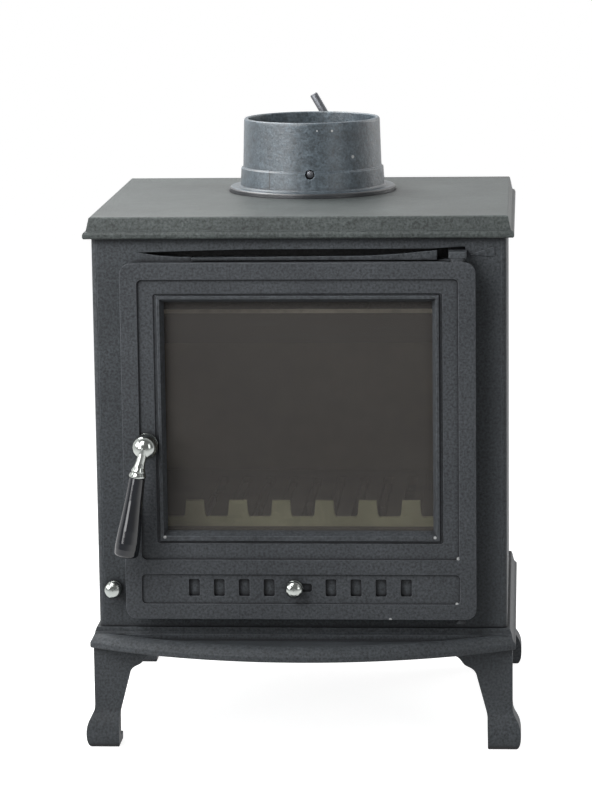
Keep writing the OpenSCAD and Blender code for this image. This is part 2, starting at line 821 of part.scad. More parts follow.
module door_glass() {
    placed() color(glass_tint) front_view(glass_front, glass_front + glass_t)
        rounded(-half_sight - glass_lap, sight_low - glass_lap, half_sight + glass_lap,
            sight_high + glass_lap, 3);
}

clip_t = 2;
clip_out = glass_lap + 1 + 5;
clip_x = half_sight - 34.5;
clip_points = [for (x = [-clip_x, clip_x]) for (z = [sight_low - clip_out, sight_high + clip_out]) [x, z]];

// Each clip bears on the glass and steps down to the door beside it
module glass_clips() {
    glass_back = glass_front + glass_t;
    placed() color(steel) for (p = clip_points) {
        s = p[1] > latch_z ? 1 : -1;
        tip = p[1] - s * (clip_out - 2);
        foot = p[1] - s * 4.2;
        end = p[1] + s * 3.8;
        difference() {
            union() {
                block(p[0] - 9, p[0] + 9, glass_back, glass_back + clip_t, min(tip, end), max(tip, end));
                block(p[0] - 9, p[0] + 9, door_back, glass_back + clip_t, min(foot, end), max(foot, end));
            }
            along_y(p[0], p[1], door_back - 1, glass_back + clip_t + 1, 2.2);
        }
    }
}

module glass_clip_screws() {
    top = glass_front + glass_t + clip_t;
    placed() color(steel) for (p = clip_points) {
        along_y(p[0], p[1], door_back - 3.5, top + 0.5, 2);
        along_y(p[0], p[1], top, top + 1.8, 3.4);
    }
}

module door_rope() {
    placed() color(fibre) front_view(door_back + 1.6, front_y - seal) difference() {
        loop(rope_d / 2 - 0.3);
        loop(-rope_d / 2 + 0.3);
    }
}

// Hinges
lug_in = hinge_x - 10.1;
lug_out = hinge_x + 6.4;
lug_front = hinge_y - 4.6;
upper_lug_z = door_top + 4;
upper_lug_h = 5.2;
lower_lug_z = door_z - 4.2;
lower_lug_h = 3;
lower_lug_r = 4.6;

// The upper lug's shank passes through the slit to a flange behind the frame
flange_left = lug_in + 1.4;
flange_right = slit_right + 2;

module upper_hinge_lug() {
    placed() color(iron) difference() {
        union() {
            translate([0, 0, upper_lug_z]) linear_extrude(height = upper_lug_h) union() {
                rounded(lug_in, lug_front, lug_out, lug_front + 10, 1.5);
                translate([lug_in, lug_front + 5]) square([lug_out - lug_in, front_y - lug_front - 5]);
            }
            block(flange_left, slit_right - 1, front_y - 1, frame_back + 1, upper_lug_z,
                upper_lug_z + upper_lug_h);
            block(flange_left, flange_right, frame_back, frame_back + 3, door_top - 11, panel_top - 2);
        }
        upright(hinge_x, hinge_y, upper_lug_z - 1, upper_lug_z + upper_lug_h + 1, hinge_d / 2 + run);
        for (z = lug_screw_z) along_y(lug_screw_x, z, frame_back - 1, frame_back + 4, 2.2);
    }
}

module lower_hinge_lug() {
    lug_top = lower_lug_z + lower_lug_h;
    placed() color(iron) difference() {
        union() {
            upright(hinge_x, hinge_y, lower_lug_z, lug_top, lower_lug_r);
            block(hinge_x - lower_lug_r + 0.2, hinge_x + lower_lug_r - 0.2, hinge_y, front_y,
                lower_lug_z, lug_top);
        }
        upright(hinge_x, hinge_y, lower_lug_z - 1, lug_top + 1, hinge_d / 2 + run);
    }
}

module hinge_pins() {
    placed() color(steel) {
        upright(hinge_x, hinge_y, lower_lug_z, door_z + 14.5, hinge_d / 2);
        upright(hinge_x, hinge_y, door_top - 14.5, upper_lug_z + upper_lug_h, hinge_d / 2);
    }
}

module hinge_washer() {
    placed() color(steel) difference() {
        upright(hinge_x, hinge_y, lower_lug_z + lower_lug_h + run, door_z - run, lower_lug_r - 0.3);
        upright(hinge_x, hinge_y, lower_lug_z, door_z + 1, hinge_d / 2 + run);
    }
}

// Handle and latch
ball_y = door_front - 2.2 - ball_d / 2;
rose_t = 2.2;
neck_angle = 15.3;
grip_angle = 9.2;
neck_l = 22.8;
neck_r = 4.3;
grip_y = ball_y - 8;

module handle_rose() {
    placed() color(chrome) difference() {
        along_y(latch_x, latch_z, door_front - rose_t + 0.2, door_front, 10.5);
        along_y(latch_x, latch_z, door_front - rose_t - 1, door_front + 1, spindle_d / 2 + 0.3);
    }
}

// The spindle steps down where the cam and its nut sit
tail_r = spindle_d / 2 - 1;

module latch_spindle() {
    placed() color(steel) {
        along_y(latch_x, latch_z, ball_y, ring_back - 1.8, spindle_d / 2);
        along_y(latch_x, latch_z, ring_back - 2, cam_y + cam_t + 6, tail_r);
    }
}

// Shifts to the neck's lower end, where the ferrule and the grip begin
module at_neck_end() {
    translate([latch_x - neck_l * sin(neck_angle), grip_y, latch_z - neck_l * cos(neck_angle)])
        rotate([0, grip_angle, 0]) children();
}

// Stud that runs from the hub through the ferrule into the grip
stud_r = 3;
stud_l = 40;

module handle_hub() {
    placed() color(chrome) difference() {
        union() {
            translate([latch_x, ball_y, latch_z]) sphere(r = ball_d / 2, $fn = 64);
            // Waisted neck, which leaves the ball's front and widens towards the ferrule
            translate([latch_x, grip_y, latch_z]) rotate([0, neck_angle, 0])
                rotate_extrude($fn = 48) polygon([
                [0, 3.2], [neck_r - 2, 3], [neck_r - 0.6, 1.8], [neck_r, 0], [neck_r - 0.2, -5],
                [neck_r + 0.2, -neck_l + 9], [neck_r + 1, -neck_l + 5], [neck_r + 2.6, -neck_l + 1.6],
                [neck_r + 2.6, -neck_l + 0.8], [0, -neck_l + 0.8]
            ]);
            at_neck_end() translate([0, 0, -0.2]) cylinder(h = 2, r = neck_r + 2.1, $fn = 32);
            at_neck_end() translate([0, 0, -stud_l]) cylinder(h = stud_l + 1, r = stud_r, $fn = 48);
        }
        along_y(latch_x, latch_z, ball_y - 0.1, ball_y + ball_d, spindle_d / 2 + 0.02);
    }
}

module handle_ferrule() {
    hole = stud_r + 0.02;
    placed() color(chrome) at_neck_end() translate([0, 0, -4.6]) rotate_extrude($fn = 64)
        polygon([[hole, 0], [8, 0], [8.3, 0.6], [8.3, 1.8], [7.8, 2.6], [6.9, 4.3], [hole, 4.3]]);
}

module handle_grip() {
    r = grip_d / 2;
    placed() color(bakelite) difference() {
        at_neck_end() translate([0, 0, -4.7 - grip_l]) rotate_extrude($fn = 64) polygon(concat(
            [[0, -0.4], [r - 3.2, 0.2]],
            arc_points(r - 3, 3.2, 2.7, -75, -8, 5),
            [[r, 8], [r - 0.1, 14], [r - 0.9, 26], [r - 2.1, grip_l * 0.52], [r - 3.2, grip_l * 0.72]],
            [[7.6, grip_l - 6], [7.3, grip_l - 0.8], [6.6, grip_l], [0, grip_l]]
        ));
        at_neck_end() translate([0, 0, -stud_l - 0.5]) cylinder(h = stud_l, r = stud_r + 0.02, $fn = 48);
    }
}

cam_l = 20;
cam_half = 4.5;
cam_y = frame_back + 1.6;
cam_t = 6;

// The cam points up at rest and swings behind the frame's left edge
module latch_cam() {
    placed() color(steel) difference() {
        union() {
            along_y(latch_x, latch_z, ring_back - 1.7, cam_y + cam_t, cam_half);
            block(latch_x - cam_half, latch_x + cam_half, cam_y, cam_y + cam_t, latch_z,
                latch_z + cam_l - cam_half);
            along_y(latch_x, latch_z + cam_l - cam_half, cam_y, cam_y + cam_t, cam_half);
        }
        along_y(latch_x, latch_z, ring_back - 3, cam_y + cam_t + 1, tail_r + 0.02);
    }
}

module latch_nut() {
    placed() color(steel) difference() {
        hex_y(latch_x, latch_z, cam_y + cam_t + 0.1, cam_y + cam_t + 4.6, 6.5);
        along_y(latch_x, latch_z, cam_y + cam_t - 1, cam_y + cam_t + 6, tail_r + 0.02);
    }
}

// Primary air slide
module air_slide() {
    placed() color(iron) difference() {
        block(-slide_reach, slide_reach - air_travel, slide_front + 0.2, slide_front + 0.2 + slide_t,
            air_z - air_pocket + 0.4, air_z + air_pocket - 0.4);
        front_view(slide_front - 1, slide_front + slide_t + 1) for (x = slot_places)
            rounded(x - air_travel - slot_w / 2, air_z - slot_h / 2, x - air_travel + slot_w / 2,
                air_z + slot_h / 2, 1.6);
        along_y(knob_x, air_z, slide_front - 1, slide_front + slide_t + 1, 2.02);
    }
}

// Turned knob with a flange, a neck and a domed front, which faces along -Y from the given place
module turned_knob(x, y, z) {
    r = knob_d / 2;
    translate([x, y, z]) rotate([90, 0, 0]) rotate_extrude($fn = 64) polygon(concat(
        [[0, 0], [r - 0.7, 0], [r - 0.3, 0.4], [r - 0.3, 2.4], [r - 0.8, 2.9], [r - 1.9, 3.3]],
        [[r - 2.2, 4.3], [r - 1.9, 5.3], [r - 0.7, 5.8], [r - 0.1, 6.4], [r, 7.2], [r, 9], [r - 0.3, 9.8]],
        [[r - 1, 10.7], [r - 2.2, 11.6], [r - 3.9, 12.4], [r - 5.7, 12.8], [0, 13]]
    ));
}

module air_knob() {
    knob_y = door_front + panel_sink - fit;
    placed() color(chrome) {
        turned_knob(knob_x, knob_y, air_z);
        along_y(knob_x, air_z, knob_y - 1, slide_front + 0.1, 3);
        along_y(knob_x, air_z, knob_y, slide_front + slide_t, 2);
    }
}

guide_points = [for (side = [-1, 1]) for (x = [-1, 1]) [x * (guide_half - 4.5),
    air_z + side * (air_pocket + 0.9)]];

module air_slide_guides() {
    placed() color(steel) for (side = [-1, 1]) difference() {
        block(-guide_half, guide_half, door_back, door_back + 1.5,
            air_z + side * (air_pocket + 0.9) - 3.3, air_z + side * (air_pocket + 0.9) + 3.3);
        for (p = guide_points) along_y(p[0], p[1], door_back - 1, door_back + 3, 2.2);
    }
}

module air_guide_screws() {
    placed() color(steel) for (p = guide_points) {
        along_y(p[0], p[1], door_back - 3.5, door_back + 2, 2);
        along_y(p[0], p[1], door_back + 1.5, door_back + 3, 3);
    }
}

// Air-wash slide: a lip outside and a plate with ports on the duct's floor behind the slit
lip_right = lug_in - wash_travel - 1.1;
port_count = 11;
port_pitch = (lip_right - lip_left) / (port_count + 0.5);
port_w = wash_travel - 1;
wash_ports = [for (i = [1 : port_count]) lip_left + (i - 0.25) * port_pitch];
duct_back = frame_back + 11.5;
duct_left = wash_left - 1.5;
duct_right = flange_left - 0.5;
duct_top = slit_low + 14.4;
wash_plate_z = slit_low + 0.4;
wash_plate_t = 1.8;
port_front = frame_back + 1.5;
port_back = duct_back - 4.5;

// Holes through the plate and the duct's floor
module wash_port_cuts(z0, z1) {
    for (x = wash_ports) block(x - port_w / 2, x + port_w / 2, port_front, port_back, z0, z1);
}

module airwash_slide() {
    left = lip_left + 0.6;
    placed() color(iron) difference() {
        union() {
            front_view(front_y - 4, front_y - 0.4) polygon(concat(
                [[lip_right, wash_plate_z], [left, wash_plate_z], [left, lip_low]],
                curve([lip_right - 80, slit_low + 3.8], [lip_right - 50, slit_low + 4.4],
                    [lip_right - 30, slit_low + 6.2], [lip_right, slit_low + 9.2], 8)
            ));
            block(left, lip_right, front_y - 1, duct_back - 2.5, wash_plate_z, wash_plate_z + wash_plate_t);
        }
        wash_port_cuts(slit_low, slit_low + 3);
    }
}

module airwash_duct() {
    placed() color(steel) difference() {
        union() {
            block(duct_left, duct_right, frame_back, duct_back, slit_low - 2, slit_low);
            block(duct_left, duct_right, duct_back - 2, duct_back, slit_low - 24, duct_top);
            block(duct_left, duct_right, frame_back, duct_back, duct_top - 2, duct_top);
            block(duct_left, duct_right, frame_back, frame_back + 2, duct_top - 2, panel_top - fit);
            block(duct_left, duct_left + 1.5, frame_back, duct_back, slit_low - 2, duct_top);
            block(duct_right - 1.5, duct_right, frame_back, duct_back, slit_low - 2, duct_top);
        }
        wash_port_cuts(slit_low - 3, slit_low + 1);
        for (x = duct_screw_x) along_y(x, duct_screw_z, frame_back - 1, frame_back + 3, 2.2);
    }
}

// Screws behind the front frame, for the duct and the upper hinge lug
duct_screw_x = [-half_door * 0.75, 0, half_door * 0.75];
duct_screw_z = panel_top - 3.2;
lug_screw_x = (flange_left + flange_right) / 2;
lug_screw_z = [door_top - 6, panel_top - 6];
frame_screw_points = concat(
    [for (x = duct_screw_x) [x, duct_screw_z]],
    [for (z = lug_screw_z) [lug_screw_x, z]]
);

module frame_screws() {
    placed() color(steel) for (p = frame_screw_points) {
        flange = p[0] > duct_right ? 3 : 2;
        along_y(p[0], p[1], frame_back - 4, frame_back + flange + 0.5, 2);
        along_y(p[0], p[1], frame_back + flange, frame_back + flange + 1.8, 2.8);
    }
}

// Hearth plate, grate and riddling gear
hearth_front = frame_back + 0.5;
brick_in = side_in - brick_t;
grate_side = 51;
grate_fore = 46;
grate_aft = 49;
grate_x = brick_in - grate_side;
grate_front = frame_back + grate_fore;
grate_back = wall_in - grate_aft;
slot_count = 2 * floor((grate_x - 14) / grate_pitch) + 1;
seat = 6;

module hearth_plate() {
    placed() color(iron) difference() {
        block(-side_in + fit, side_in - fit, hearth_front, wall_in - fit, hearth_low, hearth_z);
        block(-grate_x - fit, grate_x + fit, grate_front - fit, grate_back + fit, hearth_z - seat,
            hearth_z + 1);
        block(-grate_x + seat, grate_x - seat, grate_front + seat, grate_back - seat, hearth_low - 1,
            hearth_z);
        all_corners(tie_points) translate([0, 0, hearth_low - 1]) cylinder(h = hearth_t + 2,
            r = tie_r + 1, $fn = 48);
        for (x = rail_screw_x) for (y = rail_screw_y)
            upright(x, y, hearth_low - 1, hearth_low + 6, 1.6);
    }
}

slot_x = [for (i = [0 : slot_count - 1]) (i - (slot_count - 1) / 2) * grate_pitch];

module grate() {
    placed() color(iron) translate([0, 0, hearth_z - seat]) linear_extrude(height = seat) difference() {
        rounded(-grate_x, grate_front, grate_x, grate_back, 3);
        for (x = slot_x)
            rounded(x - grate_slot / 2, grate_front + 15, x + grate_slot / 2, grate_back - 15,
                grate_slot / 2 - 0.1);
    }
}

comb_z = hearth_low - 10;
comb_t = 5;
comb_fore = 37;
comb_aft = 16;
comb_side = 26;
tooth_fore = 27;
tooth_aft = 24;
comb_front = grate_front + comb_fore;
comb_back = grate_back - comb_aft;
comb_x = [for (x = slot_x) if (abs(x) < grate_x - comb_side) x];
arm_w = 14;

module riddling_comb() {
    placed() color(iron) difference() {
        union() {
            difference() {
                block(-grate_x + 10, grate_x - 10, comb_front, comb_back, comb_z, comb_z + comb_t);
                for (x = comb_x)
                    block(x - grate_pitch / 2 - 4, x - grate_pitch / 2 + 4, comb_front + 12, comb_back - 26,
                        comb_z - 1, comb_z + comb_t + 1);
            }
            for (x = comb_x)
                block(x - 2.5, x + 2.5, comb_front + tooth_fore, comb_back - tooth_aft, comb_z + comb_t - 1,
                    hearth_z - 1);
            block(-side_in + ledge_w + 6, -grate_x + 20, comb_back - arm_w, comb_back, comb_z - 5,
                comb_z + comb_t);
            block(rod_x - 7, -side_in + ledge_w + 8, comb_back - arm_w, comb_back, comb_z - 5,
                hearth_low - 8.5);
            block(rod_x - 7, rod_x + 7, comb_back - arm_w, comb_back, rod_z - 8, hearth_low - 8.5);
        }
        along_y(rod_x, rod_z, comb_back - arm_w - 1, comb_back + 1, rod_r + 0.02);
    }
}

rail_y0 = grate_front + 7;
rail_y1 = comb_back - arm_w - riddle_travel - 8;
rail_screw_x = [-grate_x - 6, grate_x + 6];
rail_screw_y = [rail_y0 + 15, rail_y1 - 15];

module comb_rails() {
    placed() color(steel) for (side = [-1, 1]) difference() {
        side_outline = side * (grate_x - 9);
        union() {
            block(min(side_outline, side * (grate_x - 7)), max(side_outline, side * (grate_x - 7)),
                rail_y0, rail_y1, comb_z - 2.3, hearth_low);
            block(min(side * (grate_x - 15), side * (grate_x - 7)), max(side * (grate_x - 15),
                side * (grate_x - 7)),
                rail_y0, rail_y1, comb_z - 2.3, comb_z - 0.3);
            block(min(side * (grate_x - 9), side * (grate_x + 12)), max(side * (grate_x - 9),
                side * (grate_x + 12)),
                rail_y0, rail_y1, hearth_low - 2, hearth_low);
        }
        for (y = rail_screw_y) upright(side * (grate_x + 6), y, hearth_low - 3, hearth_low + 1, 1.7);
    }
}

module rail_screws() {
    placed() color(steel) for (x = rail_screw_x) for (y = rail_screw_y) {
        upright(x, y, hearth_low - 2.5, hearth_low + 5.5, 1.5);
        upright(x, y, hearth_low - 4, hearth_low - 2, 3);
    }
}

bush_t = 1.8;
riddle_knob_y = front_y - bush_t - fit;

module riddling_rod() {
    placed() color(steel) along_y(rod_x, rod_z, riddle_knob_y - 10, comb_back + 9, rod_r);
}

module riddling_knob() {
    placed() color(chrome) difference() {
        turned_knob(rod_x, riddle_knob_y, rod_z);
        along_y(rod_x, rod_z, riddle_knob_y - 10, riddle_knob_y + 1, rod_r + 0.02);
    }
}

module riddling_bush() {
    placed() color(chrome) difference() {
        union() {
            along_y(rod_x, rod_z, front_y - bush_t, front_y, knob_d / 2 - 0.8);
            along_y(rod_x, rod_z, front_y - 1, frame_back, rod_r + 1.4);
        }
        along_y(rod_x, rod_z, front_y - 5, frame_back + 1, rod_r + run);
    }
}

module riddling_nut() {
    placed() color(steel) difference() {
        hex_y(rod_x, rod_z, comb_back + 0.1, comb_back + 6.1, 7);
        along_y(rod_x, rod_z, comb_back - 1, comb_back + 8, rod_r + 0.02);
    }
}

// Log retainer: a fence with six tapered teeth
fence_y = frame_back + 15;
fence_t = 6;
fence_low = 8.8;
tooth_h = 15.6;

module log_retainer() {
    half = 3.25 * tooth_pitch;
    placed() color(brick) {
        front_view(fence_y, fence_y + fence_t) {
            translate([-half, hearth_z]) square([2 * half, fence_low]);
            for (i = [-2.5 : 2.5]) translate([i * tooth_pitch, hearth_z + fence_low])
                polygon([[-11.5, -1], [-11, 0], [-9.4, 3], [-8.4, tooth_h], [8.4, tooth_h], [9.4, 3],
                    [11, 0], [11.5, -1]]);
        }
        block(-half, half, fence_y, fence_y + 16, hearth_z, hearth_z + 4);
    }
}

// Firebricks, whose sloping tops carry the baffle
brick_front = frame_back + 28;
baffle_front = brick_front + 40;
baffle_z = hearth_z + baffle_rise;
rear_brick_front = wall_in - brick_t - fit;
baffle_slope = baffle_drop / (rear_brick_front - baffle_front);

module side_brick(x0) {
    side_view(x0, x0 + brick_t - fit) polygon([
        [brick_front, hearth_z], [wall_in - brick_t - 1, hearth_z],
        [wall_in - brick_t - 1, baffle_z - baffle_slope * (wall_in - brick_t - 1 - baffle_front)],
        [baffle_front, baffle_z], [brick_front, baffle_z]
    ]);
}

module left_firebrick() {
    placed() color(brick) side_brick(-side_in + fit);
}

module right_firebrick() {
    placed() color(brick) side_brick(brick_in);
}

module rear_firebrick() {
    placed() color(brick) block(-brick_in + fit, brick_in - fit, rear_brick_front, wall_in - fit,
        hearth_z, baffle_z - baffle_drop + baffle_t);
}

module baffle() {
    y1 = rear_brick_front - fit;
    drop = baffle_slope * (y1 - baffle_front);
    placed() color(iron) side_view(-side_in + 2, side_in - 2) polygon([
        [baffle_front, baffle_z], [y1, baffle_z - drop], [y1, baffle_z - drop + baffle_t],
        [baffle_front + 8, baffle_z - baffle_slope * 8 + baffle_t], [baffle_front, baffle_z + baffle_t - 1]
    ]);
}

// Ash pan on the base plate's runners, level with the frame's sill
pan_front = frame_back + 12;
pan_back = wall_in - 45;
pan_z = body_z + runner_h;
pan_h = 34;

module ash_pan() {
    placed() color(steel) {
        difference() {
            block(pan_mid - pan_half, pan_mid + pan_half, pan_front, pan_back, pan_z, pan_z + pan_h);
            block(pan_mid - pan_half + 2, pan_mid + pan_half - 2, pan_front + 2, pan_back - 2,
                pan_z + 2, pan_z + pan_h + 1);
        }
        difference() {
            block(pan_mid - 30, pan_mid + 30, pan_front - 9, pan_front + 1, pan_z + 16, pan_z + 26);
            block(pan_mid - 27, pan_mid + 27, pan_front - 6, pan_front, pan_z + 15, pan_z + 27);
        }
    }
}

base_plate();
left_side_panel();
right_side_panel();
back_panel();
front_frame();
top_plate();
flue_collar();
collar_screws();
damper_plate();
damper_spindle();
damper_screws();
rear_blanking_plate();
blanking_bolts();
tie_rods();
tie_rod_nuts();
front_left_leg();
front_right_leg();
rear_left_leg();
rear_right_leg();
leg_bolts();
door();
door_glass();
glass_gasket();
glass_clips();
glass_clip_screws();
door_rope();
upper_hinge_lug();
lower_hinge_lug();
hinge_pins();
hinge_washer();
handle_rose();
latch_spindle();
handle_hub();
handle_ferrule();
handle_grip();
latch_cam();
latch_nut();
air_slide();
air_knob();
air_slide_guides();
air_guide_screws();
airwash_slide();
airwash_duct();
frame_screws();
hearth_plate();
grate();
riddling_comb();
comb_rails();
rail_screws();
riddling_rod();
riddling_knob();
riddling_bush();
riddling_nut();
log_retainer();
left_firebrick();
right_firebrick();
rear_firebrick();
baffle();
ash_pan();
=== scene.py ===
"""Looks of the cast iron stove: materials, sealing rope, damper rod, studio and camera."""

import json
import math

import bpy
from mathutils import Matrix, Vector


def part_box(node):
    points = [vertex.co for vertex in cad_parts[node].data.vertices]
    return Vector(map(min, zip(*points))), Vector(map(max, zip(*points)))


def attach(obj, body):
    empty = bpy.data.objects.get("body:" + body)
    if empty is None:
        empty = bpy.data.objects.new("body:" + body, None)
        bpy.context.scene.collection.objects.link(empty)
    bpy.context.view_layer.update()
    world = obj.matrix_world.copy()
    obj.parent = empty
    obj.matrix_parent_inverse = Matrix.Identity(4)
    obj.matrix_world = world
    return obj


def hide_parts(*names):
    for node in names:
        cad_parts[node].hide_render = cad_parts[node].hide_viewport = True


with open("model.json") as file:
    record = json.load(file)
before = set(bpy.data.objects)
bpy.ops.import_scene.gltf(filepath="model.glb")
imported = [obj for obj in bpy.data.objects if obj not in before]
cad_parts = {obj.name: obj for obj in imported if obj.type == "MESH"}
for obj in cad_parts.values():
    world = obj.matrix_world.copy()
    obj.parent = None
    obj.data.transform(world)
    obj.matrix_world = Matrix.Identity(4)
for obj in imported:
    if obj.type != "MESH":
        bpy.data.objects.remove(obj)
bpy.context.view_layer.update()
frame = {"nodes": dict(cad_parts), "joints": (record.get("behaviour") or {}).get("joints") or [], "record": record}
nodes = frame["nodes"]

MM = 0.001
TURN = 2 * math.pi
IMAGE_W = 592  # width of the photograph in pixels

# Numbers of the mix node's colour sockets, which have the same names as its other sockets
MIX_A, MIX_B, MIX_RESULT = 6, 7, 2
NOISE_SPAN = (0.3, 0.7)  # nearly all values of a noise lie between these

# Colour of the painted shade in crevices
CREVICE_SHADE = (0.009, 0.009, 0.011)
CREVICE_REACH = 6 * MM
DARK_MARK = (0.016, 0.018, 0.021)
# Pale colour of bare chips in the paint and of painted glints
BARE_CHIP_AND_GLINT = (0.42, 0.43, 0.43)

WHITE = (1, 1, 1)
FLOOR_GLOW = 0.9
ROOM_DIMNESS = 0.75
WORLD_LIGHT = 0.2


# Shader helpers
def new_material(name):
    mat = bpy.data.materials.new(name)
    mat.use_nodes = True
    tree = mat.node_tree
    tree.nodes.clear()
    out = tree.nodes.new("ShaderNodeOutputMaterial")
    bsdf = tree.nodes.new("ShaderNodeBsdfPrincipled")
    tree.links.new(bsdf.outputs["BSDF"], out.inputs["Surface"])
    return mat, tree, bsdf


def fill(tree, node, inputs):
    """Links other nodes' outputs to the inputs of these names or numbers, or sets plain values."""
    for key, value in inputs.items():
        socket = node.inputs[key]
        if isinstance(value, bpy.types.NodeSocket):
            tree.links.new(value, socket)
        elif socket.type == "RGBA":
            socket.default_value = (*value, 1.0)
        else:
            socket.default_value = value


def add(tree, kind, inputs=(), **settings):
    node = tree.nodes.new(kind)
    for key, value in settings.items():
        setattr(node, key, value)
    fill(tree, node, dict(inputs))
    return node


def object_coords(tree, stretch=(1, 1, 1)):
    coords = add(tree, "ShaderNodeTexCoord")
    mapping = add(tree, "ShaderNodeMapping", {"Vector": coords.outputs["Object"], "Scale": stretch})
    return mapping.outputs["Vector"]


def split_axes(tree, vector):
    """Outputs named X, Y and Z."""
    return add(tree, "ShaderNodeSeparateXYZ", {"Vector": vector}).outputs


def noise(tree, vector, scale, detail=3, roughness=0.55):
    inputs = {"Vector": vector, "Scale": scale, "Detail": detail, "Roughness": roughness}
    return add(tree, "ShaderNodeTexNoise", inputs).outputs["Fac"]


def ramp(tree, factor, low, high, start=0.0, end=1.0):
    """Maps a factor between start and end onto low to high."""
    span = {"From Min": start, "From Max": end, "To Min": low, "To Max": high}
    return add(tree, "ShaderNodeMapRange", {"Value": factor, **span}).outputs["Result"]


def spread(tree, factor, low, high):
    """Maps a noise, which seldom leaves its middle span, onto low to high."""
    return ramp(tree, factor, low, high, *NOISE_SPAN)


def math_node(tree, operation, *values):
    return add(tree, "ShaderNodeMath", enumerate(values), operation=operation).outputs["Value"]


def mix_colors(tree, factor, a, b, blend="MIX"):
    inputs = {"Factor": factor, MIX_A: a, MIX_B: b}
    mix = add(tree, "ShaderNodeMix", inputs, data_type="RGBA", blend_type=blend)
    return mix.outputs[MIX_RESULT]


def two_tones(tree, factor, dark, light):
    """Goes from one colour to the other with a noise."""
    return mix_colors(tree, spread(tree, factor, 0.0, 1.0), dark, light)


def brighter(color, times):
    return tuple(min(1.0, channel * times) for channel in color)


def bump(tree, height, strength, distance, normal=None):
    node = add(tree, "ShaderNodeBump", {"Height": height, "Strength": strength, "Distance": distance})
    if normal is not None:
        fill(tree, node, {"Normal": normal})
    return node.outputs["Normal"]


def rounded_normal(tree, radius):
    return add(tree, "ShaderNodeBevel", {"Radius": radius}, samples=6).outputs["Normal"]


def edge_mask(tree, soft_normal):
    """Near 1 where the rounded normal leaves the true one, which is along edges."""
    geometry = add(tree, "ShaderNodeNewGeometry")
    normals = {0: soft_normal, 1: geometry.outputs["Normal"]}
    dot = add(tree, "ShaderNodeVectorMath", normals, operation="DOT_PRODUCT")
    return ramp(tree, dot.outputs["Value"], 1.0, 0.0, start=0.86, end=0.995)


def spots(tree, at, places, core=0.6):
    """1 in the cores of small spheres, given by centre and radius in metres, and fading past them."""
    total = None
    for x, y, z, radius in places:
        near = add(tree, "ShaderNodeVectorMath", {0: at, 1: (x, y, z)}, operation="DISTANCE")
        spot = ramp(tree, near.outputs["Value"], 1.0, 0.0, start=radius * core, end=radius)
        total = spot if total is None else math_node(tree, "MAXIMUM", total, spot)
    return total


def inside(tree, at, low, high, fade=0.3 * MM):
    """1 inside an upright box between two corners, fading out past its sides."""
    axes = split_axes(tree, at)
    total = 1.0
    for axis, a, b in zip("XYZ", low, high):
        half = (b - a) / 2
        off = math_node(tree, "SUBTRACT", axes[axis], (a + b) / 2)
        off = math_node(tree, "ABSOLUTE", off)
        covered = ramp(tree, off, 1.0, 0.0, start=half, end=half + fade)
        total = math_node(tree, "MULTIPLY", covered, total)
    return total


# Materials, where a gloss is a range of roughness
def painted_iron(
    name, dark, light, relief=0.3, gloss=(0.5, 0.68), wear_and_highlight=0.6, shine=0.28, mottle=0.0, chips_and_glints=(), marks=()
):
    """Stove paint over sand-cast iron: fine grain, faint clouds, edges pale with wear and painted highlight,
    crevices in painted shade.
    """
    mat, tree, bsdf = new_material(name)
    at = object_coords(tree)
    grain = 430
    fine = noise(tree, at, grain, roughness=0.6)
    coarse = noise(tree, at, grain * 0.22, detail=2)
    soft = rounded_normal(tree, 0.9 * MM)

    color = two_tones(tree, noise(tree, at, 14, detail=4), dark, light)
    speckle = spread(tree, fine, 0.48, 1.52)
    if mottle:
        blotches = noise(tree, at, 120, roughness=0.6)
        blotches = ramp(tree, blotches, 1 - mottle, 1 + mottle, start=0.32, end=0.68)
        speckle = math_node(tree, "MULTIPLY", speckle, blotches)
    grey = add(tree, "ShaderNodeCombineColor", dict.fromkeys(("Red", "Green", "Blue"), speckle))
    color = mix_colors(tree, 1.0, color, grey.outputs["Color"], "MULTIPLY")

    # Edges are lightened, partly as paint worn thin and partly as a painted highlight.
    edge_wear_and_highlight = math_node(tree, "MULTIPLY", edge_mask(tree, soft), wear_and_highlight)
    patches = ramp(tree, coarse, 0.3, 1.0, start=0.35, end=0.6)
    edge_wear_and_highlight = math_node(tree, "MULTIPLY", edge_wear_and_highlight, patches)
    color = mix_colors(tree, edge_wear_and_highlight, color, brighter(light, 3.0))

    # Painted shade: the colour darkens where surfaces crowd close, in crevices, recesses and round the door's
    # edges.
    crevice = add(tree, "ShaderNodeAmbientOcclusion", {"Distance": CREVICE_REACH}, samples=8)
    darkening = ramp(tree, crevice.outputs["AO"], 1.0, 0.0, start=0.45, end=0.95)
    color = mix_colors(tree, darkening, color, CREVICE_SHADE)
    for low, high in marks:
        color = mix_colors(tree, inside(tree, at, low, high), color, DARK_MARK)
    # Pale spots: bare chips in the paint, and on the door also painted glints at the bead's corners.
    if chips_and_glints:
        color = mix_colors(tree, spots(tree, at, chips_and_glints), color, BARE_CHIP_AND_GLINT)

    height = math_node(tree, "ADD", fine, math_node(tree, "MULTIPLY", coarse, 1.4))
    inputs = {
        "Base Color": color,
        "Roughness": spread(tree, fine, *gloss),
        "Specular IOR Level": shine,
        "Normal": bump(tree, height, relief, 0.6 * MM, soft),
    }
    fill(tree, bsdf, inputs)
    return mat


def fire_stains(tree, at):
    """Patches left by fire and ash, from 0 to 1."""
    return ramp(tree, noise(tree, at, 22, detail=5, roughness=0.65), 0.0, 1.0, start=0.35, end=0.68)


def sooty_iron(name, dark, light):
    """Bare inner iron, dulled by fire and ash."""
    mat, tree, bsdf = new_material(name)
    at = object_coords(tree)
    grit = noise(tree, at, 420, roughness=0.65)
    color = mix_colors(tree, fire_stains(tree, at), dark, light)
    dust = ramp(tree, grit, 0.0, 0.35, start=0.52, end=0.8)
    inputs = {
        "Base Color": mix_colors(tree, dust, color, brighter(light, 1.9)),
        "Roughness": spread(tree, grit, 0.62, 0.9),
        "Normal": bump(tree, grit, 0.2, 0.6 * MM, rounded_normal(tree, 0.8 * MM)),
    }
    fill(tree, bsdf, inputs)
    return mat


